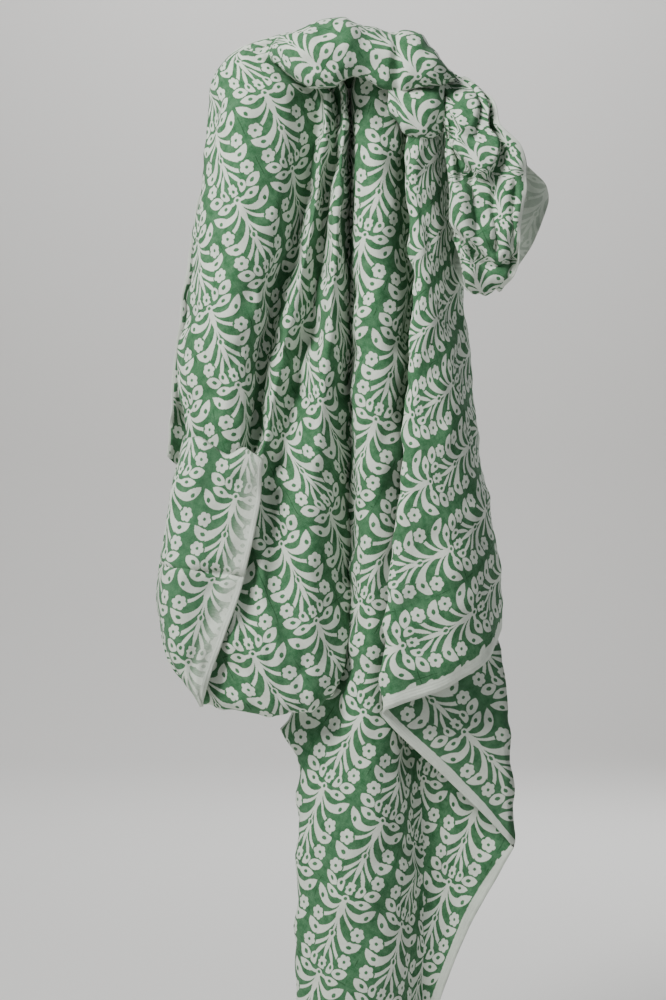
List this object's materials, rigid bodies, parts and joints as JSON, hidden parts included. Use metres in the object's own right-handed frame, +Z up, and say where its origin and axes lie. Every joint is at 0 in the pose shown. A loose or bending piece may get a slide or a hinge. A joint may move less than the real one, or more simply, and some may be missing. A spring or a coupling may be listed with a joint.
{
  "type": "hung length of block printed cotton",
  "caption": "Length of thin printed cotton hung from one point, falling in deep folds with a hood at the top, a turned back edge and a pouch at the left and a long tail.",
  "frame": {"origin": "the point that the cloth hangs from, just under the top of its hood", "axes": "+Z up, the front of the drape faces -Y, +X to the viewer's right"},
  "size_m": [0.335, 0.1304, 0.942],
  "materials": {
    "printed_cotton": "matte plain weave cotton, one face block printed in green with the motifs left off-white, the reverse paler"
  },
  "bodies": {
    "root": {"cloth": "printed_cotton"}
  },
  "joints": []
}
